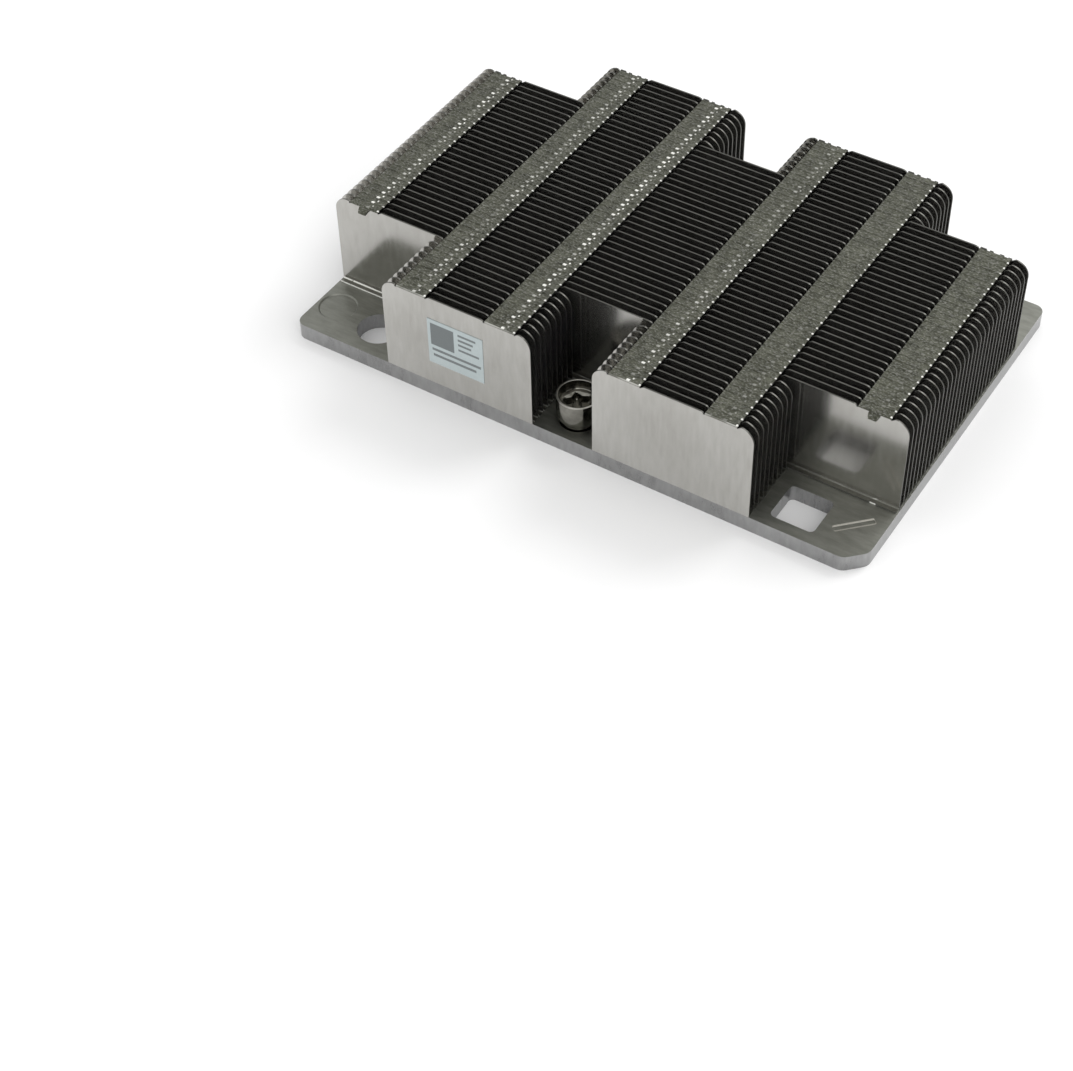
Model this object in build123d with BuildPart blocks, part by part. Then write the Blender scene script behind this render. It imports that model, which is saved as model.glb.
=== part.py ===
# Low passive heatsink for a server processor: stamped fins, zipped together at their tops, stand
# on a flat base plate that two captive nuts hold down. Millimetres, +Z up, fins along X.
# The origin is the middle of the base plate's underside, which is the contact face.
import math
import os

from build123d import *

os.makedirs("parts", exist_ok=True)

# Base plate
base_length = 118.0
base_depth = 77.0
base_thickness = 3.3
base_corner = 2.0
keyed_corner = 3.4
keyed_corner_rounding = 2.4
edge_break = 0.35

# Corner features of the base plate, measured from its ends and its long edges
corner_hole_from_end = 14.5
corner_hole_from_edge = 6.6
guide_hole_diameter = 8.2
clip_hole_size = 8.4
clip_hole_corner = 1.0
coined_mark_diameter = 7.4
coined_mark_from_end = 4.2
coined_mark_from_edge = 7.8
mark_depth = 0.15
key_groove_length = 7.4
key_groove_width = 0.9
key_groove_from_end = 5.2
key_groove_from_edge = 7.9

# Fins
overall_height = 23.2
fin_sheet = 0.3
fin_pitch = 1.664
fin_corner = 2.8
front_wing_rows = 9
rear_wing_rows = 8
fin_end_clearance = 0.3
wing_length = 31.4
driver_gap = 12.5
foot_reach = 1.0

# Zipped tabs along the fin tops
band_width = 6.1
end_band_inset = 6.6
wing_band_inset = 6.35
tab_clearance = 0.12
tongue_width = 2.2
tongue_reach = 0.95
tongue_drop = 0.65
tongue_lap = 0.1

# Captive nuts, turned by a six-lobed driver
nut_from_edge = 5.5
nut_head_diameter = 8.0
nut_head_height = 5.0
nut_head_lift = 1.1
nut_base_break = 0.45
nut_cup_diameter = 7.2
nut_cup_depth = 2.1
nut_neck_diameter = 6.4
nut_thread_bore = 3.3
nut_thread_depth = 4.8
nut_floor_gap = 0.25
running_clearance = 0.3
driver_size = 5.5
driver_depth = 1.8
driver_lobe_radius = 0.72
driver_turn = 10.0
ring_thickness = 0.6
ring_diameter = 8.4
ring_groove_depth = 0.5
ring_gap_angle = 70.0
ring_seat_wall = 0.5
counterbore_diameter = 9.2

# Blank paper label on the left front wing
label_width = 11.8
label_height = 10.2
label_thickness = 0.1
label_from_wing_end = 9.6
label_below_top = 4.7

# Places worked out from the sizes above
base_front = -base_depth / 2
full_fin_length = base_length - 2 * fin_end_clearance
fin_foot_level = base_thickness
fin_height = overall_height - fin_foot_level
tab_level = overall_height - fin_sheet
fin_rows = int((base_depth - fin_sheet) / fin_pitch) + 1
full_fin_count = fin_rows - front_wing_rows - rear_wing_rows
full_stack_front = base_front + front_wing_rows * fin_pitch
rear_wing_front = full_stack_front + full_fin_count * fin_pitch
wing_centre = driver_gap / 2 + wing_length / 2
end_band = full_fin_length / 2 - end_band_inset
outer_wing_band = wing_centre + wing_length / 2 - wing_band_inset
inner_wing_band = wing_centre - wing_length / 2 + wing_band_inset
end_bands = [-end_band, end_band]
left_wing_bands = [-outer_wing_band, -inner_wing_band]
right_wing_bands = [inner_wing_band, outer_wing_band]
wing_bands = left_wing_bands + right_wing_bands
tab_reach = fin_pitch - fin_sheet - tab_clearance
tongue_top = tab_level - tongue_lap

hole_x = base_length / 2 - corner_hole_from_end
hole_y = base_depth / 2 - corner_hole_from_edge
nut_y = base_depth / 2 - nut_from_edge
nut_bore = nut_neck_diameter + 2 * running_clearance
nut_head_bottom = base_thickness + nut_head_lift
nut_top = nut_head_bottom + nut_head_height
nut_cup_floor = nut_top - nut_cup_depth
ring_bottom = nut_floor_gap + ring_seat_wall / 2
ring_top = ring_bottom + ring_thickness
counterbore_depth = ring_top + running_clearance
ring_seat_diameter = nut_neck_diameter - 2 * ring_groove_depth


# Base plate: blanked with one large keyed corner, drilled for the nuts and the guide posts, and
# marked near both front corners.
with BuildPart() as base_plate:
    with BuildSketch() as blank:
        Rectangle(base_length, base_depth)
        front_right = blank.vertices().sort_by(Axis.X)[-2:].sort_by(Axis.Y)[0]
        chamfer(front_right, keyed_corner)
        fillet(blank.edges().sort_by(SortBy.LENGTH)[0].vertices(), keyed_corner_rounding)
        square_corners = [
            v for v in blank.vertices() if abs(abs(v.X) - base_length / 2) + abs(abs(v.Y) - base_depth / 2) < 1e-6
        ]
        fillet(square_corners, base_corner)
        with Locations((-hole_x, -hole_y), (hole_x, hole_y)):
            Circle(guide_hole_diameter / 2, mode=Mode.SUBTRACT)
        with Locations((hole_x, -hole_y), (-hole_x, hole_y)):
            with BuildSketch(mode=Mode.PRIVATE) as clip_hole:
                Rectangle(clip_hole_size, clip_hole_size)
                chamfer(clip_hole.vertices(), clip_hole_corner)
            add(clip_hole.sketch, mode=Mode.SUBTRACT)
        with Locations((0, -nut_y), (0, nut_y)):
            Circle(nut_bore / 2, mode=Mode.SUBTRACT)
    extrude(amount=base_thickness)
    chamfer(base_plate.faces().sort_by(Axis.Z)[-1].outer_wire().edges(), edge_break)
    with BuildSketch(Plane.XY) as ring_recess:
        with Locations((0, -nut_y), (0, nut_y)):
            Circle(counterbore_diameter / 2)
    extrude(amount=counterbore_depth, mode=Mode.SUBTRACT)
    with BuildSketch(Plane.XY.offset(base_thickness)) as top_marks:
        with Locations((-base_length / 2 + coined_mark_from_end, base_front + coined_mark_from_edge)):
            Circle(coined_mark_diameter / 2)
        groove_centre = (base_length / 2 - key_groove_from_end, base_front + key_groove_from_edge)
        with Locations(Location(groove_centre, 45)):
            Rectangle(key_groove_length, key_groove_width)
    extrude(amount=-mark_depth, mode=Mode.SUBTRACT)
base_plate.part.label = "base_plate"
export_step(base_plate.part, "parts/base_plate.step")


def fin_plate(front, centre, length):
    """One upright sheet, its front face at Y = front. Each rounded top corner is a quarter of a
    twelve-sided polygon drawn round the corner's circle."""
    corner_x = length / 2 - fin_corner
    corner_z = overall_height - fin_corner
    with BuildSketch(Plane.XZ.offset(-front)) as sheet:
        with Locations((centre, fin_foot_level)):
            Rectangle(length, fin_height - fin_corner, align=(Align.CENTER, Align.MIN))
            Rectangle(2 * corner_x, fin_height, align=(Align.CENTER, Align.MIN))
        with Locations((centre - corner_x, corner_z), (centre + corner_x, corner_z)):
            RegularPolygon(fin_corner, 12, major_radius=False, rotation=15)
    extrude(sheet.sketch, amount=-fin_sheet)


def fin_foot(front, centre, length):
    """The flange along the fin's bottom edge, folded forward and soldered to the base."""
    with BuildSketch(Plane.XY.offset(fin_foot_level)) as foot:
        with Locations((centre, front)):
            Rectangle(length, foot_reach, align=(Align.CENTER, Align.MAX))
    extrude(foot.sketch, amount=fin_sheet)


def zip_tabs(front, tabs, tongues):
    """Tabs fold back from the fin's top edge to the next fin. A tongue is pressed forward and down
    from the fin's own fold, and slips under the tab of the fin in front."""
    with BuildSketch(Plane.XY.offset(tab_level)) as folds:
        for x in tabs:
            with Locations((x, front + fin_sheet)):
                Rectangle(band_width, tab_reach, align=(Align.CENTER, Align.MIN))
    if tabs:
        extrude(folds.sketch, amount=fin_sheet)
    for x in tongues:
        with BuildSketch(Plane.YZ.offset(x)) as tongue:
            with BuildLine():
                Polyline(
                    (front, tongue_top),
                    (front - tongue_reach, tongue_top - tongue_drop),
                    (front, tongue_top - tongue_drop),
                    close=True,
                )
            make_face()
        extrude(tongue.sketch, amount=tongue_width / 2, both=True)


# Full-length fins, one node each. The last one has no fin behind it at its two end bands.
for row in range(full_fin_count):
    front = full_stack_front + row * fin_pitch
    tabs = wing_bands if row == full_fin_count - 1 else wing_bands + end_bands
    with BuildPart() as full_fin:
        fin_plate(front, 0, full_fin_length)
        fin_foot(front, 0, full_fin_length)
        zip_tabs(front, tabs, wing_bands + end_bands)
    name = f"full_fin_{row + 1:02d}"
    full_fin.part.label = name
    export_step(full_fin.part, f"parts/{name}.step")


# Short fins: a left and a right stack in front of the full-length fins, and two more behind them.
# The foremost and rearmost fins are plain end fins on their outer side.
for side, centre, bands in (("left", -wing_centre, left_wing_bands), ("right", wing_centre, right_wing_bands)):
    with BuildPart() as front_wing:
        for row in range(front_wing_rows):
            front = base_front + row * fin_pitch
            fin_plate(front, centre, wing_length)
            if row > 0:
                fin_foot(front, centre, wing_length)
            zip_tabs(front, bands, bands if row > 0 else [])
    front_wing.part.label = f"front_{side}_wing_fins"
    export_step(front_wing.part, f"parts/front_{side}_wing_fins.step")

    with BuildPart() as rear_wing:
        for row in range(rear_wing_rows):
            front = rear_wing_front + row * fin_pitch
            fin_plate(front, centre, wing_length)
            fin_foot(front, centre, wing_length)
            zip_tabs(front, bands if row < rear_wing_rows - 1 else [], bands)
    rear_wing.part.label = f"rear_{side}_wing_fins"
    export_step(rear_wing.part, f"parts/rear_{side}_wing_fins.step")


# Captive nuts with their retaining rings. Each nut spins freely in its bore in the base plate. Its
# head is a cup with a thin rim, and the driver's recess lies in the floor of the cup.
for place, y in (("front", -nut_y), ("rear", nut_y)):
    with BuildPart() as captive_nut:
        with BuildSketch(Plane.YZ) as nut_section:
            with BuildLine():
                Polyline(
                    (y, nut_floor_gap),
                    (y + nut_neck_diameter / 2, nut_floor_gap),
                    (y + nut_neck_diameter / 2, ring_bottom),
                    (y + ring_seat_diameter / 2, ring_bottom),
                    (y + ring_seat_diameter / 2, ring_top),
                    (y + nut_neck_diameter / 2, ring_top),
                    (y + nut_neck_diameter / 2, nut_head_bottom),
                    (y + nut_head_diameter / 2 - nut_base_break, nut_head_bottom),
                    (y + nut_head_diameter / 2, nut_head_bottom + nut_base_break),
                    (y + nut_head_diameter / 2, nut_top),
                    (y + nut_cup_diameter / 2, nut_top),
                    (y + nut_cup_diameter / 2, nut_cup_floor),
                    (y, nut_cup_floor),
                    close=True,
                )
            make_face()
        revolve(axis=Axis((0, y, 0), (0, 0, 1)))
        with BuildSketch(Plane.XY.offset(nut_cup_floor)) as driver_recess:
            lobe_circle = driver_size / 2 - driver_lobe_radius
            with Locations((0, y)):
                RegularPolygon(lobe_circle, 6, rotation=driver_turn)
                with PolarLocations(lobe_circle, 6, start_angle=driver_turn):
                    RegularPolygon(driver_lobe_radius, 6, major_radius=False, rotation=30)
        extrude(amount=-driver_depth, mode=Mode.SUBTRACT)
        with BuildSketch(Plane.XY.offset(nut_floor_gap)) as thread_bore:
            with Locations((0, y)):
                Circle(nut_thread_bore / 2)
        extrude(amount=nut_thread_depth, mode=Mode.SUBTRACT)
    captive_nut.part.label = f"captive_nut_{place}"
    export_step(captive_nut.part, f"parts/captive_nut_{place}.step")

    with BuildPart() as retaining_ring:
        with BuildSketch(Plane.XY.offset(ring_bottom)) as ring_blank:
            with Locations((0, y)):
                Circle(ring_diameter / 2)
            with BuildLine():
                opening_half = math.radians(ring_gap_angle / 2)
                Polyline(
                    (0, y),
                    (ring_diameter * math.cos(opening_half), y - ring_diameter * math.sin(opening_half)),
                    (ring_diameter * math.cos(opening_half), y + ring_diameter * math.sin(opening_half)),
                    close=True,
                )
            make_face(mode=Mode.SUBTRACT)
            with Locations((0, y)):
                Circle(ring_seat_diameter / 2, mode=Mode.SUBTRACT)
        extrude(amount=ring_thickness)
    retaining_ring.part.label = f"retaining_ring_{place}"
    export_step(retaining_ring.part, f"parts/retaining_ring_{place}.step")


# Blank label, stuck to the face of the foremost left wing fin.
label_left = -wing_centre - wing_length / 2 + label_from_wing_end
with BuildPart() as blank_label:
    with BuildSketch(Plane.XZ.offset(-base_front)) as paper:
        with Locations((label_left, overall_height - label_below_top)):
            Rectangle(label_width, label_height, align=(Align.MIN, Align.MAX))
    extrude(amount=label_thickness)
blank_label.part.label = "blank_label"
export_step(blank_label.part, "parts/blank_label.step")
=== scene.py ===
import math

import bmesh
import bpy
import numpy as np
from mathutils import Matrix, Vector
from mathutils.geometry import delaunay_2d_cdt


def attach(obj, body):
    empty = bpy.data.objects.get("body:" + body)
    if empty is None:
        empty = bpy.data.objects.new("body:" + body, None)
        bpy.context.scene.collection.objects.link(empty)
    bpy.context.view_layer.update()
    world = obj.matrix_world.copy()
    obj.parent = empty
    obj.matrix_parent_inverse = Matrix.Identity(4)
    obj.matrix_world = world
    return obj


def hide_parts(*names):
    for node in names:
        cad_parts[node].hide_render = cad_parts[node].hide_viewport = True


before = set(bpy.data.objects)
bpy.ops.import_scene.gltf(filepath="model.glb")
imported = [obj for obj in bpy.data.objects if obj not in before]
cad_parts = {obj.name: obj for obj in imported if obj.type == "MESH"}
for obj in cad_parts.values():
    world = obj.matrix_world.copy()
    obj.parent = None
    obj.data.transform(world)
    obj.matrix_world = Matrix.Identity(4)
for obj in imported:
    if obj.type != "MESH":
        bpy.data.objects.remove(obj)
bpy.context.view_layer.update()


# Base plate: one blanked plate of grey metal with its top edge broken all round, machined flat
# underneath. It carries everything else, and its top keeps the faint grain of the rolled sheet.
def sheet_grain():
    """Node group for the grain of rolled or brushed metal. Object coordinates are stretched along the
    rolling direction and fed to a fine noise, which mixes the light and the dark colour; a slow noise
    adds the cloudy patches that handling leaves. Both also vary the roughness and give a height."""
    group = bpy.data.node_groups.new("sheet grain", "ShaderNodeTree")
    face = group.interface
    for name, kind, value in (
        ("Light", "NodeSocketColor", (0.5, 0.5, 0.5, 1)),
        ("Dark", "NodeSocketColor", (0.3, 0.3, 0.3, 1)),
        ("Stretch", "NodeSocketVector", (1, 1, 1)),
        ("Grain Scale", "NodeSocketFloat", 900.0),
        ("Cloud Scale", "NodeSocketFloat", 45.0),
        ("Roughness", "NodeSocketFloat", 0.4),
        ("Spread", "NodeSocketFloat", 0.12),
    ):
        face.new_socket(name, in_out="INPUT", socket_type=kind).default_value = value
    for name, kind in (
        ("Color", "NodeSocketColor"),
        ("Roughness", "NodeSocketFloat"),
        ("Height", "NodeSocketFloat"),
    ):
        face.new_socket(name, in_out="OUTPUT", socket_type=kind)
    new, link = group.nodes.new, group.links.new
    given, out, place = new("NodeGroupInput"), new("NodeGroupOutput"), new("ShaderNodeTexCoord")
    stretch = new("ShaderNodeVectorMath")
    stretch.operation = "MULTIPLY"
    link(place.outputs["Object"], stretch.inputs[0])
    link(given.outputs["Stretch"], stretch.inputs[1])
    grain, cloud = new("ShaderNodeTexNoise"), new("ShaderNodeTexNoise")
    grain.inputs["Detail"].default_value = 5
    grain.inputs["Roughness"].default_value = 0.65
    cloud.inputs["Detail"].default_value = 4
    link(stretch.outputs[0], grain.inputs["Vector"])
    link(given.outputs["Grain Scale"], grain.inputs["Scale"])
    link(place.outputs["Object"], cloud.inputs["Vector"])
    link(given.outputs["Cloud Scale"], cloud.inputs["Scale"])
    blend = new("ShaderNodeMath")
    blend.operation = "MULTIPLY_ADD"
    blend.inputs[1].default_value = 0.55
    link(grain.outputs["Fac"], blend.inputs[0])
    part = new("ShaderNodeMath")
    part.operation = "MULTIPLY"
    part.inputs[1].default_value = 0.45
    link(cloud.outputs["Fac"], part.inputs[0])
    link(part.outputs[0], blend.inputs[2])
    spread = new("ShaderNodeMapRange")
    spread.inputs["From Min"].default_value = 0.32
    spread.inputs["From Max"].default_value = 0.68
    link(blend.outputs[0], spread.inputs["Value"])
    colour = new("ShaderNodeMix")
    colour.data_type = "RGBA"
    link(spread.outputs["Result"], colour.inputs["Factor"])
    link(given.outputs["Dark"], colour.inputs["A"])
    link(given.outputs["Light"], colour.inputs["B"])
    link(colour.outputs["Result"], out.inputs["Color"])
    centred = new("ShaderNodeMath")
    centred.operation = "SUBTRACT"
    centred.inputs[1].default_value = 0.5
    link(spread.outputs["Result"], centred.inputs[0])
    rough = new("ShaderNodeMath")
    rough.operation = "MULTIPLY_ADD"
    link(centred.outputs[0], rough.inputs[0])
    link(given.outputs["Spread"], rough.inputs[1])
    link(given.outputs["Roughness"], rough.inputs[2])
    link(rough.outputs[0], out.inputs["Roughness"])
    link(grain.outputs["Fac"], out.inputs["Height"])
    return group


grain_group = sheet_grain()


def colour_of(red, green, blue):
    """A colour given as it is seen on a screen, 0 to 255, as the linear colour that shaders take."""
    seen = np.array([red, green, blue]) / 255
    linear = np.where(seen <= 0.04045, seen / 12.92, ((seen + 0.055) / 1.055) ** 2.4)
    return (*linear.tolist(), 1)


def grained_metal(
    name, light, dark, stretch, roughness, metallic=1.0, scale=900.0, cloud=45.0, spread=0.12, bump=0.1
):
    """A surface with the sheet grain. Gives the material, its shader, its grain node and its link call."""
    material = bpy.data.materials.new(name)
    material.use_nodes = True
    tree = material.node_tree
    shader = tree.nodes["Principled BSDF"]
    grain = tree.nodes.new("ShaderNodeGroup")
    grain.node_tree = grain_group
    grain.inputs["Light"].default_value = colour_of(*light)
    grain.inputs["Dark"].default_value = colour_of(*dark)
    grain.inputs["Stretch"].default_value = stretch
    grain.inputs["Grain Scale"].default_value = scale
    grain.inputs["Cloud Scale"].default_value = cloud
    grain.inputs["Roughness"].default_value = roughness
    grain.inputs["Spread"].default_value = spread
    relief = tree.nodes.new("ShaderNodeBump")
    relief.inputs["Strength"].default_value = bump
    relief.inputs["Distance"].default_value = 0.00005
    shader.inputs["Metallic"].default_value = metallic
    tree.links.new(grain.outputs["Color"], shader.inputs["Base Color"])
    tree.links.new(grain.outputs["Roughness"], shader.inputs["Roughness"])
    tree.links.new(grain.outputs["Height"], relief.inputs["Height"])
    tree.links.new(relief.outputs["Normal"], shader.inputs["Normal"])
    return material, shader, grain, tree.links.new


base_metal = grained_metal(
    "base plate metal", (142, 143, 136), (108, 109, 102), (0.25, 1, 1), 0.42, metallic=0.97, cloud=60
)[0]
base_side = grained_metal("base plate side", (168, 168, 168), (138, 138, 138), (1, 1, 0.3), 0.3, cloud=90)[0]

MM = 0.001
BASE_TOP = 3.3
HALF_LENGTH = 59.0
HALF_DEPTH = 38.5
KEY_CUT = 3.4
CORNER_ROUNDING = 2.0
KEY_ROUNDING = 2.4
CORNER_HOLE_X = 44.5
CORNER_HOLE_Y = 31.9
ROUND_HOLE = 4.1
SQUARE_HOLE = 4.2
SQUARE_ROUNDING = 1.0
NUT_Y = 33.0
NUT_BORE = 3.5
SEAT_RADIUS = 4.6
SEAT_DEPTH = 1.4
COIN_X = -54.8
COIN_Y = -30.7
GROOVE_TURN = math.pi / 4
EDGE_BREAK = 0.32


def rounded_outline(corners, radii, steps=8):
    """Closed outline with every corner rounded, run round anticlockwise. Each corner becomes an arc
    that touches both of its edges: its centre lies on the bisector, at radius over the sine of half
    the angle, and it turns evenly from one edge's normal to the other's."""
    here = np.array(corners, float)
    back = np.roll(here, 1, axis=0) - here
    onward = np.roll(here, -1, axis=0) - here
    back /= np.linalg.norm(back, axis=1)[:, None]
    onward /= np.linalg.norm(onward, axis=1)[:, None]
    middle = back + onward
    middle /= np.linalg.norm(middle, axis=1)[:, None]
    sine = np.abs(middle[:, 0] * onward[:, 1] - middle[:, 1] * onward[:, 0])
    centre = here + middle * (np.array(radii, float) / sine)[:, None]
    start = np.arctan2(back[:, 0], -back[:, 1])
    sweep = (np.arctan2(-onward[:, 0], onward[:, 1]) - start) % (2 * math.pi)
    angle = start[:, None] + sweep[:, None] * np.linspace(0, 1, steps)[None, :]
    arc = np.stack([np.cos(angle), np.sin(angle)], axis=2) * np.array(radii, float)[:, None, None]
    return (centre[:, None, :] + arc).reshape(-1, 2)


def circle_outline(x, y, radius, steps=64):
    """Circle as evenly turned points."""
    turn = np.linspace(0, 2 * math.pi, steps, endpoint=False)
    return np.stack([x + radius * np.cos(turn), y + radius * np.sin(turn)], axis=1)


def box_outline(x, y, half_x, half_y, radius, turned=0.0):
    """Rounded rectangle about a point, turned by an angle."""
    local = rounded_outline(
        [(-half_x, -half_y), (half_x, -half_y), (half_x, half_y), (-half_x, half_y)], [radius] * 4
    )
    c, s = math.cos(turned), math.sin(turned)
    return local @ np.array([[c, s], [-s, c]]) + np.array([x, y])


def pierced_plate(name, through, blind, materials):
    """A flat plate from outlines. Each feature is a list of (outline, height) from the top down, whose
    walls are strips carried along the outline; the first through feature is the plate's own edge. The
    top and the underside are triangulated between the outlines, and a triangle stays where a line from
    its middle crosses the outlines an odd number of times. Blind marks get a floor."""
    work = bmesh.new()
    top, bottom, floors = [], [], []
    for number, feature in enumerate(through + blind):
        goes_through = number < len(through)
        wall_metal = 1 if goes_through else 2 * (number - len(through))
        loops = [[work.verts.new((*(p * MM), z * MM)) for p in outline] for outline, z in feature]
        for upper, lower in zip(loops, loops[1:]):
            for i in range(len(upper)):
                j = (i + 1) % len(upper)
                wall = work.faces.new((upper[i], upper[j], lower[j], lower[i]))
                wall.material_index = wall_metal
        top.append(loops[0])
        (bottom if goes_through else floors).append(loops[-1])
    for group in (top, bottom):
        corners = [vertex for loop in group for vertex in loop]
        starts = np.cumsum([0] + [len(loop) for loop in group])
        rings = [
            (start + i, start + (i + 1) % len(loop))
            for start, loop in zip(starts, group)
            for i in range(len(loop))
        ]
        flat = np.array([vertex.co[:2] for vertex in corners]) / MM
        triangles = delaunay_2d_cdt([Vector(p) for p in flat], rings, [], 0, 1e-6)[2]
        first, second = flat[[a for a, b in rings]], flat[[b for a, b in rings]]
        for triangle in triangles:
            x, y = flat[list(triangle)].mean(axis=0)
            spans = (first[:, 1] > y) != (second[:, 1] > y)
            rise = np.where(spans, second[:, 1] - first[:, 1], 1)
            crossing = first[:, 0] + (y - first[:, 1]) / rise * (second[:, 0] - first[:, 0])
            if (spans & (crossing > x)).sum() % 2:
                work.faces.new([corners[i] for i in triangle])
    for loop in floors:
        work.faces.new(loop)
    bmesh.ops.recalc_face_normals(work, faces=work.faces)
    mesh = bpy.data.meshes.new(name)
    work.to_mesh(mesh)
    work.free()
    mesh.shade_flat()
    for material in materials:
        mesh.materials.append(material)
    plate = bpy.data.objects.new(name, mesh)
    bpy.context.scene.collection.objects.link(plate)
    return plate


edge = rounded_outline(
    [
        (-HALF_LENGTH, -HALF_DEPTH),
        (HALF_LENGTH - KEY_CUT, -HALF_DEPTH),
        (HALF_LENGTH, KEY_CUT - HALF_DEPTH),
        (HALF_LENGTH, HALF_DEPTH),
        (-HALF_LENGTH, HALF_DEPTH),
    ],
    [CORNER_ROUNDING, KEY_ROUNDING, KEY_ROUNDING, CORNER_ROUNDING, CORNER_ROUNDING],
)
through = [[(edge, BASE_TOP), (edge, 0)]]
for x, y in ((-CORNER_HOLE_X, -CORNER_HOLE_Y), (CORNER_HOLE_X, CORNER_HOLE_Y)):
    hole = circle_outline(x, y, ROUND_HOLE)
    through.append([(hole, BASE_TOP), (hole, 0)])
for x, y in ((CORNER_HOLE_X, -CORNER_HOLE_Y), (-CORNER_HOLE_X, CORNER_HOLE_Y)):
    hole = box_outline(x, y, SQUARE_HOLE, SQUARE_HOLE, SQUARE_ROUNDING)
    through.append([(hole, BASE_TOP), (hole, 0)])
for y in (-NUT_Y, NUT_Y):
    bore, seat = circle_outline(0, y, NUT_BORE), circle_outline(0, y, SEAT_RADIUS)
    through.append([(bore, BASE_TOP), (bore, SEAT_DEPTH), (seat, SEAT_DEPTH), (seat, 0)])
coin = [
    (circle_outline(COIN_X, COIN_Y, 3.75), BASE_TOP),
    (circle_outline(COIN_X, COIN_Y, 3.5), BASE_TOP - 0.25),
]
groove = [
    (box_outline(53.8, -30.6, 3.8, 0.75, 0.3, GROOVE_TURN), BASE_TOP),
    (box_outline(53.76, -30.56, 3.78, 0.53, 0.25, GROOVE_TURN), BASE_TOP - 0.03),
    (box_outline(53.76, -30.56, 3.74, 0.4, 0.2, GROOVE_TURN), BASE_TOP - 0.15),
]
# The groove's walls take a light, barely metallic material: a painted highlight along its edges.
groove_rim_highlight = grained_metal(
    "groove rim highlight", (172, 170, 160), (140, 138, 130), (1, 1, 1), 0.4, metallic=0.2
)[0]
base = pierced_plate("base", through, [coin, groove], [base_metal, base_side, groove_rim_highlight])
rounding = base.modifiers.new("broken edges", "BEVEL")
rounding.width = EDGE_BREAK * MM
rounding.segments = 3
rounding.limit_method = "ANGLE"
rounding.angle_limit = math.radians(60)
rounding.material = 1
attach(base, "heatsink")
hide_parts("base_plate")


# Fins: thin sheet, stamped in one piece with a foot flange folded forward, which is soldered to the
# base, and with tabs folded back along the top. Each tab reaches the next fin, whose hooked tongue
# lies in the slot that its own tongue left, so the stack is zipped together.
TOP = 23.2
SHEET = 0.3
PITCH = 1.664
CORNER = 2.8
FOOT_REACH = 1.0
FOLD_RADIUS = 0.18
TONGUE_HALF = 1.1
DOT_HEIGHT = 0.06
BAND_HALF = 3.05
BAND_COLUMNS = np.array(
    [-BAND_HALF, -2.85, -1.2, 0.3, 0.38, 0.86, 0.94, 1.15, 1.22, 1.34, 1.41, 2.2, 2.74, 2.82, BAND_HALF]
)

# Places in a tab's grid: the dash and the dot are pressed up and carry a painted highlight, the point
# at the right edge and the fold of the foremost fins carry a painted highlight only. The heel is a row
# of the wall's grid. The foot's painted light line breaks off near its left end, and on the right part
# of a long fin the heel's painted highlight is weaker.
DASH_COLUMNS = slice(4, 6)
DOT_COLUMNS = slice(8, 10)
POINT_COLUMNS = slice(-2, None)
DASH_ROWS = slice(3, 6)
DOT_ROWS = slice(8, 10)
POINT_ROWS = slice(3, 5)
FOLD_ROWS = slice(1, 3)
HEEL_ROW = 4
HIGHLIGHT_BREAK = 2.25
RIGHT_PART = 50


def fin_columns(x_left, x_right, bands, tabs):
    """Column places along a fin and the height of its top edge there. Near an end the height follows
    the corner's quarter circle; beside each band it sinks in a curve to the relief slot; in a band it
    is where the fold begins, or the line of small stubs where the last fin has no tab. The lowest of
    the three counts."""
    corner = CORNER * (1 - np.cos(np.linspace(0, math.pi / 2, 9)))
    before = np.array([1.8, 1.2, 0.8, 0.5, 0.36, 0.34, 0.02])
    before_drop = np.array([0.0, 0.0, 0.04, 0.14, 0.24, 0.45, 0.45])
    after = np.array([0.02, 0.2, 0.45, 0.8])
    after_drop = np.array([0.55, 0.42, 0.24, 0.0])
    stub = np.array([-1.9, -1.8, -1.3, -1.2, -0.6, -0.45, 0.6, 0.72, 1.5, 1.65, 2.2, 2.35, 2.9])
    stub_drop = np.array([0.0, 0.35, 0.35, 0.05, 0.05, 0.5, 0.5, 0.08, 0.08, 0.5, 0.4, 0.15, 0.15])
    centres = np.array(bands)[:, None]
    block = np.concatenate([-BAND_HALF - before, BAND_COLUMNS, BAND_HALF + after])
    stubbed = centres[~np.array(tabs)] + stub
    places = [x_left + corner, x_right - corner, (centres + block).ravel(), stubbed.ravel()]
    x = np.unique(np.round(np.concatenate(places), 4))
    x = x[np.append(True, np.diff(x) > 0.005)]
    away = np.minimum(x - x_left, x_right - x)
    inside = np.clip(CORNER - away, 0, CORNER)
    round_z = TOP - CORNER + np.sqrt(CORNER**2 - inside**2)
    nearest = np.abs(x[None, :] - centres).argmin(axis=0)
    aside = x - centres[nearest, 0]
    off = np.abs(aside) - BAND_HALF
    left_drop = np.interp(off, before[::-1], before_drop[::-1], right=0)
    right_drop = np.interp(off, after, after_drop, right=0)
    relief_z = TOP - np.where(aside < 0, left_drop, right_drop)
    stub_z = TOP - np.interp(aside, stub, stub_drop)
    fold_z = np.where(np.array(tabs)[nearest], TOP - SHEET / 2 - FOLD_RADIUS, stub_z)
    relief_z = np.where(off < 0.001, fold_z, relief_z)
    return x, np.minimum(round_z, relief_z)


def grid_faces(rows, columns, start=0):
    """Quads of a grid of rows x columns whose vertices are numbered row by row from start."""
    first = (np.arange(rows - 1)[:, None] * columns + np.arange(columns - 1)[None, :]).ravel() + start
    return np.stack([first, first + 1, first + columns + 1, first + columns], axis=1)


def grid_points(x, y, z):
    """Points of a grid as rows of x, y and z, from values or rows that broadcast to z's shape."""
    return np.stack([np.broadcast_to(x, z.shape), np.broadcast_to(y, z.shape), z], axis=2).reshape(-1, 3)


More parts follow.
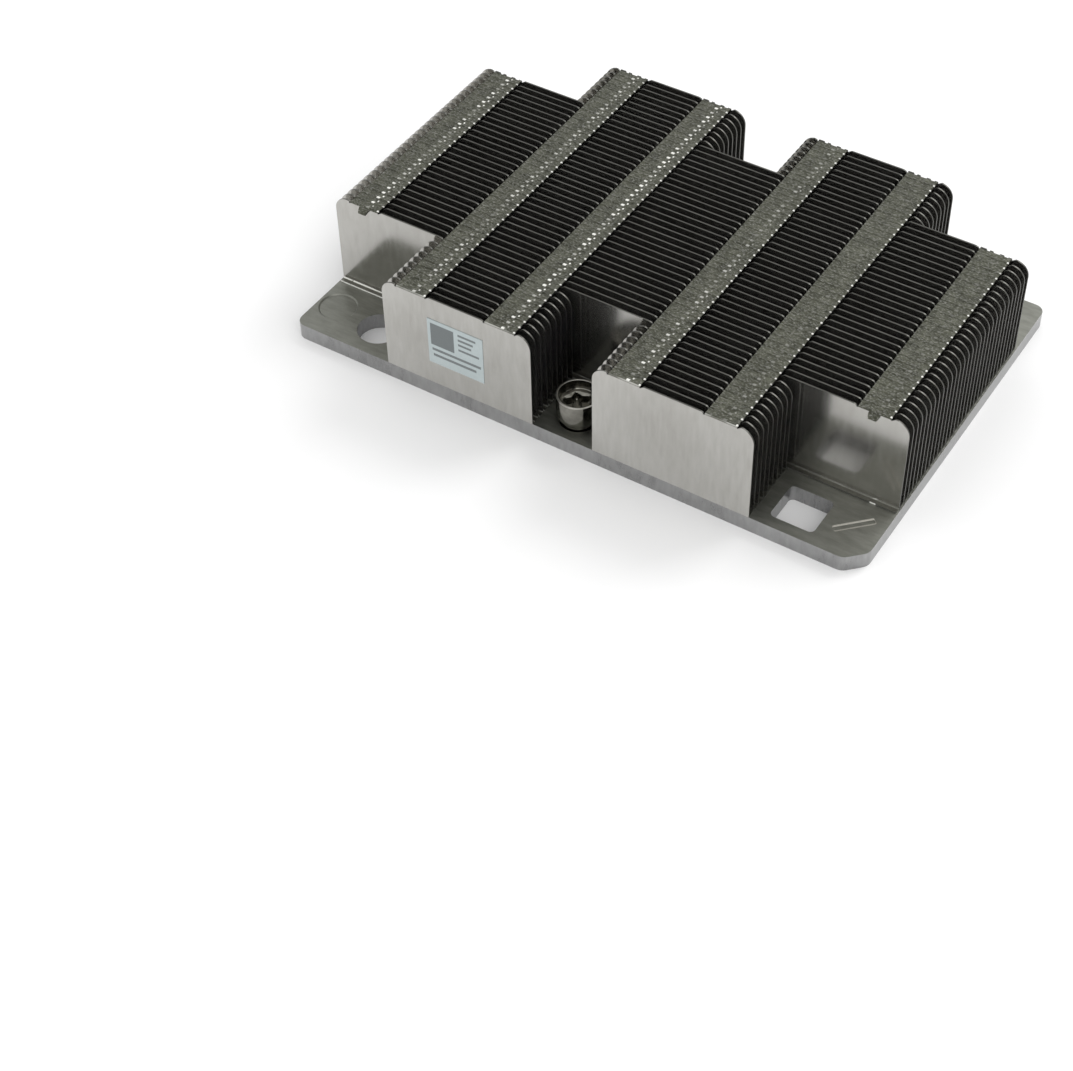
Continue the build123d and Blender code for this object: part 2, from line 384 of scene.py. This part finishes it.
def fin_sheet(front, x_left, x_right, bands, tabs, tongues, foot=True):
    """The middle surface of one fin as vertices, quads and two marks per vertex, in millimetres.
    The wall is a grid: its columns run along the fin, its rows go from the foot's free edge round
    the fold and up to the top edge. Each tab is a grid whose rows turn back through a quarter circle
    and run on level to the next fin, with a dash and a dot pressed up. Each tongue is a grid whose
    rows turn forward in a hook. The marks say where the surface is dull tab, where the foot is
    darkened with most of the tab tone as a painted dark reflection, and where a highlight is painted."""
    x, top = fin_columns(x_left, x_right, bands, tabs)
    middle = front + SHEET / 2
    low = BASE_TOP + SHEET / 2
    foot_y = np.array([front - FOOT_REACH, front - 0.96, front - 0.24, front - 0.08, middle - 0.1, middle])
    foot_z = low + np.array([0.0, 0.0, 0.0, 0.05, 0.18, 0.42])
    if not foot:
        foot_y, foot_z = np.array([middle]), np.array([BASE_TOP])
    lift = np.array([0.003, 0.5, 0.86])
    start_z = foot_z[-1]
    body_z = start_z + (TOP - CORNER - 0.4 - start_z) * np.append(lift, 1.0)
    row_y = np.concatenate([foot_y, np.full(len(body_z) + 2, middle)])
    row_z = np.concatenate([foot_z, body_z])
    z = np.concatenate([np.repeat(row_z[:, None], len(x), axis=1), top[None, :] - 0.04, top[None, :]])
    vertices = [grid_points(x, row_y[:, None], z)]
    quads = [grid_faces(*z.shape)]
    fold_line = np.zeros(z.shape)
    fold_line[-1] = np.abs(x[None, :] - np.array(bands)[:, None]).min(axis=0) < BAND_HALF + 0.001
    edge_glow = np.zeros(z.shape)
    if foot:
        # The foot takes 0.8 of the dull tab tone: a painted dark reflection on its top.
        fold_line[: len(foot_y)] = 0.8
        # Painted highlights along the foot's free edge and its heel, of a strength that changes along the fin
        # and breaks off near the left end.
        foot_highlight = np.interp(x, [-44, -32, 10, 53.6, 54.3, 54.8], [6, 0.9, 0.2, 0.12, 3, 0.15])
        foot_highlight[np.abs(x - x_left - HIGHLIGHT_BREAK) < 0.1] = 0
        edge_glow[0] = foot_highlight
        edge_glow[HEEL_ROW] = foot_highlight * np.where(x > RIGHT_PART, 0.2, 1)
    tab_mark = [fold_line.ravel()]
    shine = [edge_glow.ravel()]
    count = z.size

    quarter = np.linspace(0, math.pi / 2, 5)
    fold_top = TOP - SHEET / 2
    run_y = np.array([0.38, 0.5, 0.72, 0.8, 1.02, 1.1, PITCH - 0.04 - SHEET / 2])
    tab_y = middle + np.concatenate([FOLD_RADIUS * (1 - np.cos(quarter)), run_y])
    run_z = np.full(len(run_y), fold_top - DOT_HEIGHT)
    tab_z = np.concatenate([fold_top - FOLD_RADIUS * (1 - np.sin(quarter)), run_z])
    press = np.zeros((len(tab_y), len(BAND_COLUMNS)))
    press[DASH_ROWS, DASH_COLUMNS] = DOT_HEIGHT
    press[DOT_ROWS, DOT_COLUMNS] = DOT_HEIGHT
    hook_y = middle - np.array([0.0, 0.2, 0.5, 0.8, 0.98])
    hook_z = fold_top - np.array([0.4, 0.45, 0.6, 0.85, 1.1])
    hook_x = np.linspace(-1, 1, 5)[None, :] * TONGUE_HALF * np.array([1, 0.97, 0.9, 0.8, 0.65])[:, None]
    hook_z = np.broadcast_to(hook_z[:, None], hook_x.shape)
    for place, band in enumerate(bands):
        if tabs[place]:
            # Painted highlights on the dash, the dot and the right edge's point. The dash and dot are
            # stronger on some bands and weaker towards the back on the right, and the foremost fins get a
            # painted highlight on their fold.
            highlight_strength = np.interp(band, [-52, -31, -12.6, 12.6, 31], [1.0, 0.7, 1.8, 1.0, 0.3])
            if band > 0:
                highlight_strength *= np.interp(front, [-HALF_DEPTH, 0], [1.0, 0.45])
            tab_shine = np.zeros(press.shape)
            tab_shine[DASH_ROWS, DASH_COLUMNS] = highlight_strength
            tab_shine[DOT_ROWS, DOT_COLUMNS] = highlight_strength
            tab_shine[POINT_ROWS, POINT_COLUMNS] = 3
            if not foot:
                tab_shine[FOLD_ROWS] = 0.5
            vertices.append(grid_points(band + BAND_COLUMNS, tab_y[:, None], tab_z[:, None] + press))
            quads.append(grid_faces(*press.shape, start=count))
            tab_mark.append(np.ones(press.size))
            shine.append(tab_shine.ravel())
            count += press.size
        if tongues[place]:
            vertices.append(grid_points(band + hook_x, hook_y[:, None], hook_z))
            quads.append(grid_faces(*hook_x.shape, start=count))
            tab_mark.append(np.ones(hook_x.size))
            shine.append(np.zeros(hook_x.size))
            count += hook_x.size
    return np.concatenate(vertices), np.concatenate(quads), np.concatenate(tab_mark), np.concatenate(shine)


def fin_object(name, sheets, materials):
    """One object from the middle surfaces of one or more fins, with equal points merged and the
    sheet's thickness put on both sides by Solidify, whose rim takes the second material."""
    points, faces, marks, glows, count = [], [], [], [], 0
    for vertices, quads, tab_mark, shine in sheets:
        points.append(vertices)
        faces.append(quads + count)
        marks.append(tab_mark)
        glows.append(shine)
        count += len(vertices)
    points, faces = np.concatenate(points) * MM, np.concatenate(faces)
    mesh = bpy.data.meshes.new(name)
    mesh.vertices.add(len(points))
    mesh.vertices.foreach_set("co", points.ravel())
    mesh.loops.add(faces.size)
    mesh.loops.foreach_set("vertex_index", faces.ravel())
    mesh.polygons.add(len(faces))
    mesh.polygons.foreach_set("loop_start", np.arange(0, faces.size, 4))
    mesh.update(calc_edges=True)
    for label, values in (("tab_tone_and_foot_shade", marks), ("painted_highlight", glows)):
        mesh.attributes.new(label, "FLOAT", "POINT").data.foreach_set("value", np.concatenate(values))
    work = bmesh.new()
    work.from_mesh(mesh)
    bmesh.ops.remove_doubles(work, verts=work.verts, dist=1e-6)
    work.to_mesh(mesh)
    work.free()
    mesh.validate()
    mesh.shade_flat()
    for material in materials:
        mesh.materials.append(material)
    piece = bpy.data.objects.new(name, mesh)
    bpy.context.scene.collection.objects.link(piece)
    thick = piece.modifiers.new("sheet", "SOLIDIFY")
    thick.thickness = SHEET * MM
    thick.offset = 0
    thick.use_even_offset = False
    thick.material_offset_rim = 1
    return piece


fin_metal, fin_shader, fin_grain, link = grained_metal(
    "fin sheet", (192, 191, 187), (171, 169, 164), (0.6, 1, 0.12), 0.16,
    scale=1400, cloud=70, spread=0.06, bump=0.04,
)
nodes = fin_metal.node_tree.nodes

# The tabs are duller and darker than the walls, with a grain of their own.
tab_grain = nodes.new("ShaderNodeGroup")
tab_grain.node_tree = grain_group
tab_grain.inputs["Light"].default_value = colour_of(97, 98, 86)
tab_grain.inputs["Dark"].default_value = colour_of(54, 55, 47)
tab_grain.inputs["Stretch"].default_value = (1, 1, 1)
tab_grain.inputs["Grain Scale"].default_value = 1500
tab_grain.inputs["Cloud Scale"].default_value = 500
tab_grain.inputs["Roughness"].default_value = 0.36
tab_tone = nodes.new("ShaderNodeMix")
tab_tone.data_type = "RGBA"
tab_mark = nodes.new("ShaderNodeAttribute")
tab_mark.attribute_name = "tab_tone_and_foot_shade"

# Painted highlights: the marked places are painted bright, in patches, and fine flecks of painted glint lie
# on the tabs. Both scatter light.
glow_tone = nodes.new("ShaderNodeMix")
glow_tone.data_type = "RGBA"
glow_tone.inputs["B"].default_value = colour_of(232, 232, 226)
glow_mark = nodes.new("ShaderNodeAttribute")
glow_mark.attribute_name = "painted_highlight"
glow_place = nodes.new("ShaderNodeTexCoord")
glow_patches = nodes.new("ShaderNodeTexNoise")
glow_patches.inputs["Scale"].default_value = 380
glow_patches.inputs["Detail"].default_value = 1
glow_range = nodes.new("ShaderNodeMapRange")
glow_range.inputs["From Min"].default_value = 0.4
glow_range.inputs["From Max"].default_value = 0.62
glow_range.inputs["To Min"].default_value = 0.25
glow_share = nodes.new("ShaderNodeMath")
glow_share.operation = "MULTIPLY"
fleck_place = nodes.new("ShaderNodeVectorMath")
fleck_place.operation = "MULTIPLY"
fleck_place.inputs[1].default_value = (0.5, 1.6, 1)
flecks = nodes.new("ShaderNodeTexNoise")
flecks.inputs["Scale"].default_value = 4200
flecks.inputs["Detail"].default_value = 1
fleck_range = nodes.new("ShaderNodeMapRange")
fleck_range.inputs["From Min"].default_value = 0.52
fleck_range.inputs["From Max"].default_value = 0.72
fleck_range.inputs["To Max"].default_value = 0.22
fleck_share = nodes.new("ShaderNodeMath")
fleck_share.operation = "MULTIPLY"
fleck_fade = nodes.new("ShaderNodeMath")
fleck_fade.operation = "POWER"
fleck_fade.inputs[1].default_value = 8
bright_share = nodes.new("ShaderNodeMath")
bright_share.operation = "MAXIMUM"
bright_share.use_clamp = True
tab_rough = nodes.new("ShaderNodeMix")
scatter = nodes.new("ShaderNodeMath")
scatter.operation = "MULTIPLY_ADD"
scatter.inputs[1].default_value = -0.9
scatter.inputs[2].default_value = 0.97
link(bright_share.outputs[0], scatter.inputs[0])
link(scatter.outputs[0], fin_shader.inputs["Metallic"])
link(glow_place.outputs["Object"], fleck_place.inputs[0])
link(fleck_place.outputs[0], flecks.inputs["Vector"])
link(flecks.outputs[0], fleck_range.inputs["Value"])
link(fleck_range.outputs["Result"], fleck_share.inputs[0])
link(tab_mark.outputs["Fac"], fleck_fade.inputs[0])
link(fleck_fade.outputs[0], fleck_share.inputs[1])
link(glow_share.outputs[0], bright_share.inputs[0])
link(fleck_share.outputs[0], bright_share.inputs[1])
link(glow_place.outputs["Object"], glow_patches.inputs["Vector"])
link(glow_patches.outputs[0], glow_range.inputs["Value"])
link(glow_mark.outputs["Fac"], glow_share.inputs[0])
link(glow_range.outputs["Result"], glow_share.inputs[1])
link(tab_mark.outputs["Fac"], tab_tone.inputs["Factor"])
link(fin_grain.outputs["Color"], tab_tone.inputs["A"])
link(tab_grain.outputs["Color"], tab_tone.inputs["B"])
link(bright_share.outputs[0], glow_tone.inputs["Factor"])
link(tab_tone.outputs["Result"], glow_tone.inputs["A"])
link(glow_tone.outputs["Result"], fin_shader.inputs["Base Color"])
link(tab_mark.outputs["Fac"], tab_rough.inputs["Factor"])
link(fin_grain.outputs["Roughness"], tab_rough.inputs["A"])
link(tab_grain.outputs["Roughness"], tab_rough.inputs["B"])
link(tab_rough.outputs["Result"], fin_shader.inputs["Roughness"])

cut_edge, cut_shader, cut_grain, link = grained_metal(
    "fin cut edge", (98, 98, 94), (72, 72, 68), (3, 1, 1), 0.38, scale=1600, cloud=200
)
nodes = cut_edge.node_tree.nodes
# Where the highlight mark is set, the rim is painted nearly white and made less metallic: a painted highlight
# on the cut edges.
edge_highlight_mark = nodes.new("ShaderNodeAttribute")
edge_highlight_mark.attribute_name = "painted_highlight"
edge_highlight_tone = nodes.new("ShaderNodeMix")
edge_highlight_tone.data_type = "RGBA"
edge_highlight_tone.inputs["B"].default_value = colour_of(240, 240, 236)
edge_highlight_scatter = nodes.new("ShaderNodeMath")
edge_highlight_scatter.operation = "SUBTRACT"
edge_highlight_scatter.use_clamp = True
edge_highlight_scatter.inputs[0].default_value = 1
link(edge_highlight_mark.outputs["Fac"], edge_highlight_tone.inputs["Factor"])
link(cut_grain.outputs["Color"], edge_highlight_tone.inputs["A"])
link(edge_highlight_tone.outputs["Result"], cut_shader.inputs["Base Color"])
link(edge_highlight_mark.outputs["Fac"], edge_highlight_scatter.inputs[1])
link(edge_highlight_scatter.outputs[0], cut_shader.inputs["Metallic"])

FULL_HALF = 58.7
WING_HALF = 15.7
WING_CENTRE = 21.95
WING_BAND_OFFSET = 9.35
END_BANDS = [-52.1, 52.1]
WING_BANDS = [-31.3, -12.6, 12.6, 31.3]
FRONT_ROWS = 9
REAR_ROWS = 8
FULL_FINS = 30
STACK_FRONT = FRONT_ROWS * PITCH - HALF_DEPTH
for row in range(FULL_FINS):
    name = f"full_fin_{row + 1:02d}"
    bands = sorted(WING_BANDS + END_BANDS)
    tabs = [row < FULL_FINS - 1 or band in WING_BANDS for band in bands]
    sheet = fin_sheet(STACK_FRONT + row * PITCH, -FULL_HALF, FULL_HALF, bands, tabs, [True] * 6)
    fin = fin_object(f"fin_{row + 1:02d}", [sheet], [fin_metal, cut_edge])
    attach(fin, "heatsink")
    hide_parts(name)


# Wing fins: short fins of the same sheet, nine rows in front and eight behind, left and right of the
# two nuts. The foremost and rearmost fins close the stacks with a plain face.
for side, centre in (("left", -WING_CENTRE), ("right", WING_CENTRE)):
    bands = [centre - WING_BAND_OFFSET, centre + WING_BAND_OFFSET]
    ends = (centre - WING_HALF, centre + WING_HALF)
    rows = []
    for row in range(FRONT_ROWS):
        front = row * PITCH - HALF_DEPTH
        rows.append(fin_sheet(front, *ends, bands, [True] * 2, [row > 0] * 2, row > 0))
    wing = fin_object(f"front_{side}_wing", rows, [fin_metal, cut_edge])
    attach(wing, "heatsink")
    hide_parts(f"front_{side}_wing_fins")
    rows = []
    for row in range(REAR_ROWS):
        front = STACK_FRONT + (FULL_FINS + row) * PITCH
        rows.append(fin_sheet(front, *ends, bands, [row < REAR_ROWS - 1] * 2, [True] * 2))
    wing = fin_object(f"rear_{side}_wing", rows, [fin_metal, cut_edge])
    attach(wing, "heatsink")
    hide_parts(f"rear_{side}_wing_fins")


# Captive nuts: turned from bright dark steel. The head is a cup with a thin rim that carries a
# painted highlight, and a six-lobed recess for the driver lies in its floor. Each turns freely in its
# bore in the base.
DRIVER_TURN = math.radians(10)
nut_steel = grained_metal(
    "nut steel", (142, 140, 133), (100, 99, 93), (1, 1, 1), 0.18, scale=700, cloud=300, spread=0.08
)[0]
# The rim rows take a lighter material: a painted highlight.
nut_rim_highlight = grained_metal("nut rim", (186, 184, 177), (146, 144, 138), (1, 1, 1), 0.34, cloud=300)[0]


def turned_nut(name, y, materials):
    """A surface of revolution about a vertical axis: a profile of radii and heights carried round the
    axis. A row's third value is the swing of its radius by the cosine of six times the angle, and its
    fourth is the number of the material that begins there."""
    profile = np.array(
        [
            (0.0, 5.05, 0, 0), (1.65, 5.05, 0, 0), (1.65, 0.25, 0, 0), (3.0, 0.25, 0, 0), (3.2, 0.4, 0, 0),
            (3.2, 0.5, 0, 0), (2.7, 0.5, 0, 0), (2.7, 1.1, 0, 0), (3.2, 1.1, 0, 0), (3.2, 4.42, 0, 0),
            (3.3, 4.4, 0, 0), (3.55, 4.42, 0, 0), (3.75, 4.55, 0, 0), (3.92, 4.8, 0, 0), (4.0, 5.15, 0, 0),
            (4.0, 9.28, 0, 1), (3.96, 9.36, 0, 1), (3.88, 9.4, 0, 1), (3.7, 9.4, 0, 1), (3.62, 9.34, 0, 0),
            (3.6, 9.2, 0, 0), (3.6, 7.45, 0, 0), (3.5, 7.32, 0, 0), (3.3, 7.3, 0, 0), (2.95, 7.3, 0, 0),
            (2.75, 7.24, 0.08, 0), (2.42, 7.05, 0.3, 0), (2.36, 5.7, 0.34, 0), (2.25, 5.54, 0.3, 0),
            (0.0, 5.52, 0, 0),
        ]
    )
    turn = np.linspace(0, 2 * math.pi, 96, endpoint=False)
    lobes = np.cos(6 * (turn - DRIVER_TURN))
    radius = profile[:, 0][:, None] + profile[:, 2][:, None] * lobes[None, :]
    height = np.broadcast_to(profile[:, 1][:, None], radius.shape)
    points = grid_points(radius * np.cos(turn), y + radius * np.sin(turn), height)
    row = np.arange(len(profile) - 1)[:, None] * len(turn)
    along = np.arange(len(turn))[None, :]
    ahead = (along + 1) % len(turn)
    quads = np.stack([row + along, row + ahead, row + len(turn) + ahead, row + len(turn) + along], axis=2)
    mesh = bpy.data.meshes.new(name)
    mesh.from_pydata((points * MM).tolist(), [], quads.reshape(-1, 4).tolist())
    mesh.polygons.foreach_set("material_index", np.repeat(profile[:-1, 3].astype(int), len(turn)))
    work = bmesh.new()
    work.from_mesh(mesh)
    bmesh.ops.remove_doubles(work, verts=work.verts, dist=1e-7)
    bmesh.ops.recalc_face_normals(work, faces=work.faces)
    work.to_mesh(mesh)
    work.free()
    mesh.validate()
    mesh.set_sharp_from_angle(angle=math.radians(35))
    for material in materials:
        mesh.materials.append(material)
    nut = bpy.data.objects.new(name, mesh)
    bpy.context.scene.collection.objects.link(nut)
    return nut


for place, y in (("front", -NUT_Y), ("rear", NUT_Y)):
    nut = turned_nut(f"nut_{place}", y, [nut_steel, nut_rim_highlight])
    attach(nut, f"{place}_nut")
    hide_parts(f"captive_nut_{place}")


# Retaining rings: stamped from blackened steel. One sits on each nut's neck, in the counterbore under
# the base, and keeps the nut from coming out.
dark_steel = grained_metal("ring steel", (84, 83, 80), (50, 50, 48), (1, 1, 1), 0.35, scale=700, cloud=300)[0]
for name in ("retaining_ring_front", "retaining_ring_rear"):
    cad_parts[name].data.materials.clear()
    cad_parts[name].data.materials.append(dark_steel)


# Label: a small square of coated paper, stuck to the face of the foremost left wing fin. It is left
# without wording and carries only plain grey fields.
label_paper, label_shader, label_grain, link = grained_metal(
    "label paper", (178, 188, 189), (166, 177, 178), (1, 1, 1), 0.45,
    metallic=0.0, scale=2500, cloud=150, bump=0.03,
)


def printed_field():
    """Node group: 1 inside an upright rectangle of the Object coordinates' X and Z, 0 outside. Each
    side compares the distance from the centre with the half size."""
    group = bpy.data.node_groups.new("printed field", "ShaderNodeTree")
    for name in ("Centre X", "Centre Z", "Half Width", "Half Height"):
        group.interface.new_socket(name, in_out="INPUT", socket_type="NodeSocketFloat")
    group.interface.new_socket("Mask", in_out="OUTPUT", socket_type="NodeSocketFloat")
    new, link = group.nodes.new, group.links.new
    given, out = new("NodeGroupInput"), new("NodeGroupOutput")
    place, parts = new("ShaderNodeTexCoord"), new("ShaderNodeSeparateXYZ")
    link(place.outputs["Object"], parts.inputs[0])
    sides = []
    for axis, centre, half in (("X", "Centre X", "Half Width"), ("Z", "Centre Z", "Half Height")):
        away, size, inside = new("ShaderNodeMath"), new("ShaderNodeMath"), new("ShaderNodeMath")
        away.operation, size.operation, inside.operation = "SUBTRACT", "ABSOLUTE", "LESS_THAN"
        link(parts.outputs[axis], away.inputs[0])
        link(given.outputs[centre], away.inputs[1])
        link(away.outputs[0], size.inputs[0])
        link(size.outputs[0], inside.inputs[0])
        link(given.outputs[half], inside.inputs[1])
        sides.append(inside)
    both = new("ShaderNodeMath")
    both.operation = "MULTIPLY"
    link(sides[0].outputs[0], both.inputs[0])
    link(sides[1].outputs[0], both.inputs[1])
    link(both.outputs[0], out.inputs["Mask"])
    return group


SQUARE_TONE = (104, 110, 111)
LINE_TONE = (108, 114, 115)
field_group = printed_field()
colour = label_grain.outputs["Color"]
for centre_x, centre_z, half_width, half_height, tone in (
    (-24.9, 15.2, 2.5, 2.5, SQUARE_TONE),
    (-19.6, 17.3, 1.9, 0.25, LINE_TONE),
    (-19.9, 16.2, 1.6, 0.25, LINE_TONE),
    (-20.1, 15.1, 1.4, 0.25, LINE_TONE),
    (-19.3, 13.9, 2.2, 0.25, LINE_TONE),
    (-22.0, 11.7, 5.2, 0.3, LINE_TONE),
    (-22.4, 10.4, 4.6, 0.3, LINE_TONE),
):
    field = label_paper.node_tree.nodes.new("ShaderNodeGroup")
    field.node_tree = field_group
    for socket, value in zip(field.inputs, (centre_x, centre_z, half_width, half_height)):
        socket.default_value = value * MM
    laid = label_paper.node_tree.nodes.new("ShaderNodeMix")
    laid.data_type = "RGBA"
    laid.inputs["B"].default_value = colour_of(*tone)
    link(field.outputs["Mask"], laid.inputs["Factor"])
    link(colour, laid.inputs["A"])
    colour = laid.outputs["Result"]
link(colour, label_shader.inputs["Base Color"])
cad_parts["blank_label"].data.materials.clear()
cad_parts["blank_label"].data.materials.append(label_paper)


# Studio: a pale floor, a pale surrounding and broad soft lamps, in metres.
FLOOR_HALF = 3
floor_mesh = bpy.data.meshes.new("floor")
floor_mesh.from_pydata(
    [(x * FLOOR_HALF, y * FLOOR_HALF, 0) for x, y in ((-1, -1), (1, -1), (1, 1), (-1, 1))],
    [],
    [(0, 1, 2, 3)],
)
floor = bpy.data.objects.new("floor", floor_mesh)
bpy.context.scene.collection.objects.link(floor)
floor_paint = bpy.data.materials.new("pale floor")
floor_paint.use_nodes = True
floor_shader = floor_paint.node_tree.nodes["Principled BSDF"]
floor_shader.inputs["Base Color"].default_value = (0.9, 0.9, 0.9, 1)
floor_shader.inputs["Roughness"].default_value = 0.8
floor_mesh.materials.append(floor_paint)

# The surrounding is pure white where it is seen, mirrored or seen through, and lights a little less.
world = bpy.data.worlds.new("pale surrounding")
bpy.context.scene.world = world
world.use_nodes = True
tree = world.node_tree
path = tree.nodes.new("ShaderNodeLightPath")
seen = tree.nodes.new("ShaderNodeMath")
seen.operation = "MAXIMUM"
shown = tree.nodes.new("ShaderNodeMath")
shown.operation = "MAXIMUM"
level = tree.nodes.new("ShaderNodeMapRange")
level.inputs["To Min"].default_value = 0.95
level.inputs["To Max"].default_value = 1.0
tree.links.new(path.outputs["Is Camera Ray"], seen.inputs[0])
tree.links.new(path.outputs["Is Glossy Ray"], seen.inputs[1])
tree.links.new(path.outputs["Is Transmission Ray"], shown.inputs[0])
tree.links.new(seen.outputs[0], shown.inputs[1])
tree.links.new(shown.outputs[0], level.inputs["Value"])
tree.links.new(level.outputs["Result"], tree.nodes["Background"].inputs["Strength"])
tree.nodes["Background"].inputs["Color"].default_value = (1, 1, 1, 1)


def soft_lamp(name, place, aim, size, power):
    """A square area lamp at a place, turned to aim at a point, in metres."""
    lamp = bpy.data.lights.new(name, "AREA")
    lamp.size = size
    lamp.energy = power
    holder = bpy.data.objects.new(name, lamp)
    holder.location = place
    direction = np.array(aim) - np.array(place)
    back = -direction / np.linalg.norm(direction)
    side = np.cross([0, 0, 1], back)
    side /= np.linalg.norm(side)
    up = np.cross(back, side)
    holder.matrix_world = Matrix(
        [(*pair, place[i]) for i, pair in enumerate(zip(side, up, back))] + [(0, 0, 0, 1)]
    )
    bpy.context.scene.collection.objects.link(holder)


LAMP_AIM = (0, 0, 0.01)
soft_lamp("key", (0.3, 0.7, 0.75), LAMP_AIM, 0.5, 4.0)
soft_lamp("fill", (0.6, -0.5, 0.6), LAMP_AIM, 0.7, 1.5)

# Camera: lens, shift and place were solved from the edges measured in the photograph.
camera_data = bpy.data.cameras.new("camera")
camera_data.lens = 72.11
camera_data.sensor_width = 36
camera_data.sensor_fit = "HORIZONTAL"
camera_data.shift_x = -0.0456
camera_data.shift_y = -0.0070
camera_data.clip_start = 0.01
camera = bpy.data.objects.new("camera", camera_data)
camera.matrix_world = Matrix(
    (
        (0.84978, -0.38046, 0.36486, 0.14856),
        (0.52712, 0.61897, -0.58226, -0.26796),
        (-0.00431, 0.68712, 0.72653, 0.26881),
        (0, 0, 0, 1),
    )
)
bpy.context.scene.collection.objects.link(camera)
bpy.context.scene.camera = camera
bpy.context.scene.view_settings.view_transform = "Standard"
